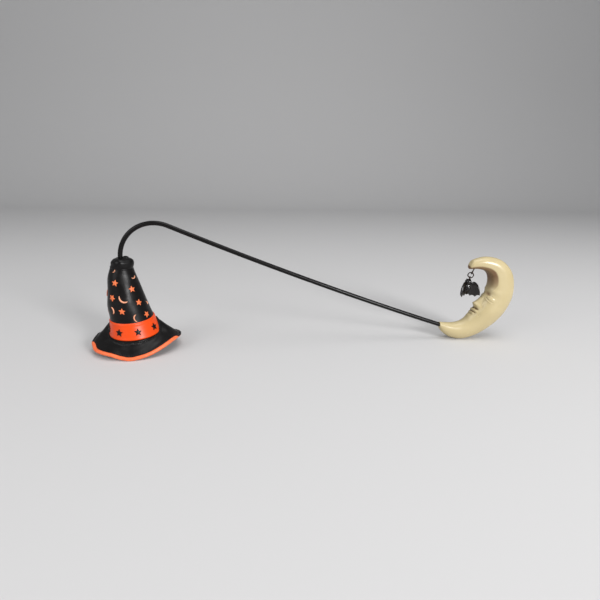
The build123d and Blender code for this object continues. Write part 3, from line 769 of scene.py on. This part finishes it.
# Body and head: one turned form. A ring of radius and height for each step down from the crown.
turned = np.array([
    (0.0, 2.3), (0.9, 2.12), (1.65, 1.6), (2.15, 0.8), (2.3, 0.0), (2.05, -0.9),
    (1.6, -1.75), (1.75, -2.5), (2.2, -3.6), (2.3, -4.6), (2.15, -5.6), (1.6, -6.7),
    (0.9, -7.5), (0.0, -8.0),
])
knots = np.arange(len(turned), dtype=float)
at = np.linspace(0, len(turned) - 1, 90)
ring_out, ring_up = (flow(at, knots, turned[:, i])[:, None] for i in (0, 1))
ring_out = np.maximum(ring_out, 0)
phi = np.linspace(0, 2 * np.pi, 64, endpoint=False)[None]
furred = smooth(-1.5, -3.0, ring_up) * smooth(-8.0, -6.5, ring_up)
fur = 1 + 0.035 * np.sin(11 * phi + 3 * ring_up) * furred
body = skin("bat_body", on_bat(ring_out * fur * np.cos(phi), ring_up - head_drop + 0 * phi,
                               ring_out * fur * np.sin(phi)))
# Ear: a cone with a hollow front, leaning out from the head.
rise = np.linspace(0, 1, 22)[:, None]
width = 0.85 * (1 - rise ** 1.6) * (1 + 0.15 * np.sin(np.pi * rise))
cup = 1 - 0.55 * np.clip(np.sin(phi), 0, 1) ** 2 * smooth(0.1, 0.5, rise) * (1 - rise)
ear_lean = np.radians(36)
ear_out = width * cup * np.cos(phi)
ear_up = 1.15 + 1.95 * rise + 0 * phi
ear_fore = width * cup * np.sin(phi) * 0.7
# Wing: an arc in plan from 12 to 55 degrees, between a domed top edge and three scallops. Its edges
# are shares of the bat's height, at shares of the span along the arc's chord.
low_turn, high_turn = np.radians(12), np.radians(55)
chord = np.radians(33.5)
wing_bend = wing_span / (high_turn - low_turn)
along = np.linspace(0, wing_span, 110)[:, None]
wing_turn = low_turn + along / wing_bend
plan_out = wing_bend * (np.sin(wing_turn) - np.sin(low_turn))
plan_fore = wing_bend * (np.cos(low_turn) - np.cos(wing_turn))
share = (plan_out * np.cos(chord) + plan_fore * np.sin(chord)) / wing_span
top_edge = flow(share[:, 0], np.array([0.00, 0.21, 0.46, 0.79, 0.96, 1.00]),
                np.array([-0.33, -0.27, -0.20, -0.39, -0.74, -0.91]))[:, None] * bat_height
corners = np.array([0.0, 0.25, 0.63, 1.0])
panel = np.clip(np.searchsorted(corners, share[:, 0], side="right") - 1, 0, 2)
in_panel = (share[:, 0] - corners[panel]) / (corners[panel + 1] - corners[panel])
scallop = np.sin(np.pi * np.clip(in_panel, 0, 1))[:, None]
points = np.interp(share[:, 0], corners, [-0.93, -0.98, -1.0, -0.91])[:, None]
low_edge = np.minimum((points + 0.065 * scallop) * bat_height, top_edge - 0.05)
round_wing = np.linspace(0, 2 * np.pi, 72, endpoint=False)[None]
level = (1 - np.cos(round_wing)) / 2
puff = np.sqrt(np.clip(4 * level * (1 - level), 0, 1))
finger_width = 0.022
finger = sum(np.exp(-((share - corner) / finger_width) ** 2) for corner in corners[1:3])
ends = np.sqrt(np.clip(np.minimum(along / 0.4, (wing_span - along) / 0.7), 0, 1))
thick = wing_thickness / 2 * puff * (0.72 + 0.28 * scallop + 0.22 * finger)
thick = thick * ends * np.sign(np.sin(round_wing))
pieces = [body]
for side, name in ((1, "right"), (-1, "left")):
    ear = on_bat(side * (ear_out * np.cos(ear_lean) + ear_up * np.sin(ear_lean)),
                 ear_up * np.cos(ear_lean) - ear_out * np.sin(ear_lean) - head_drop, ear_fore)
    ear_foot = ear[:1].mean(1, keepdims=True) + 0 * ear[:1]
    pieces.append(skin(f"bat_ear_{name}", np.concatenate([ear_foot, ear])))
    wing = on_bat(side * (plan_out - thick * np.sin(wing_turn)),
                  top_edge + (low_edge - top_edge) * level, plan_fore + thick * np.cos(wing_turn))
    pieces.append(skin(f"bat_wing_{name}", wing))
for piece in pieces:
    piece.data.materials.append(bat_black)
    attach(piece, "charm")
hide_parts("bat")

# Floor and light, in metres: a plain pale floor that turns up into a backdrop, a soft lamp low on
# the right in front, a large one above, a weak one from the left, and an even pale surrounding.
floor_mesh = bpy.data.meshes.new("floor")
curve_start, curve_radius = 1.2, 0.6
curve = np.linspace(0, np.pi / 2, 16)[1:]
reach = np.concatenate([np.linspace(-3.0, curve_start, 8),
                        curve_start + np.sin(curve) * curve_radius, np.full(4, 1.8)])
rise = np.concatenate([np.zeros(8), curve_radius - np.cos(curve) * curve_radius,
                       [1.2, 2.0, 3.0, 4.0]])
across, reach = np.meshgrid(np.linspace(-5, 5, 12), reach)
sheet = np.stack([across, reach, rise[:, None] + 0 * across], -1)
index = np.arange(sheet.shape[0] * sheet.shape[1]).reshape(sheet.shape[:2])
cells = np.stack([index[:-1, :-1], index[:-1, 1:], index[1:, 1:], index[1:, :-1]], -1)
floor_mesh.from_pydata(sheet.reshape(-1, 3).tolist(), [], cells.reshape(-1, 4).tolist())
floor_mesh.polygons.foreach_set("use_smooth", np.ones(len(floor_mesh.polygons), bool))
floor = bpy.data.objects.new("floor", floor_mesh)
bpy.context.scene.collection.objects.link(floor)
floor_paper, tree = finish_named("pale_paper")
coat = put(tree, "ShaderNodeBsdfPrincipled", [
    ("Base Color", linear("#c9c8c8")), ("Roughness", 0.8)])
put(tree, "ShaderNodeOutputMaterial", [("Surface", coat.outputs[0])])
floor_mesh.materials.append(floor_paper)

world = bpy.data.worlds.new("studio")
bpy.context.scene.world = world
world.use_nodes = True
world.node_tree.nodes.clear()
sky = put(world.node_tree, "ShaderNodeBackground", [
    ("Color", linear("#e6e8ea")), ("Strength", 0.5)])
put(world.node_tree, "ShaderNodeOutputWorld", [("Surface", sky.outputs[0])])
lit_point = np.array([0.0, 0.0, 0.03])
# Each lamp's name, place, size and power in watts.
for label, spot, size, power in (("key", (0.62, -0.95, 0.42), 0.32, 12.0),
                                 ("top", (0.15, -0.25, 1.25), 0.9, 7.5),
                                 ("fill", (-0.9, -0.7, 0.6), 0.7, 4.0)):
    lamp = bpy.data.lights.new(label, "AREA")
    lamp.size = size
    lamp.energy = power
    holder = bpy.data.objects.new(label, lamp)
    holder.location = spot
    aim = lit_point - np.array(spot)
    holder.rotation_euler = Vector(aim).to_track_quat("-Z", "Y").to_euler()
    bpy.context.scene.collection.objects.link(holder)

# Camera: where the photograph was taken from, a little above and to the right of the middle.
lens = bpy.data.cameras.new("camera")
lens.sensor_width = 36.0
lens.lens = 25.13
camera = bpy.data.objects.new("camera", lens)
right = np.array([0.993304, -0.114361, 0.016419])
down = np.array([-0.016865, -0.284114, -0.958642])
ahead = np.array([0.114297, 0.951946, -0.284140])
place = np.array([-0.041729, -0.277735, 0.114662])
camera.matrix_world = Matrix([
    *([right[i], -down[i], -ahead[i], place[i]] for i in range(3)), [0, 0, 0, 1]])
lens.clip_start = 0.01
bpy.context.scene.collection.objects.link(camera)
bpy.context.scene.camera = camera
bpy.context.scene.view_settings.view_transform = "Standard"
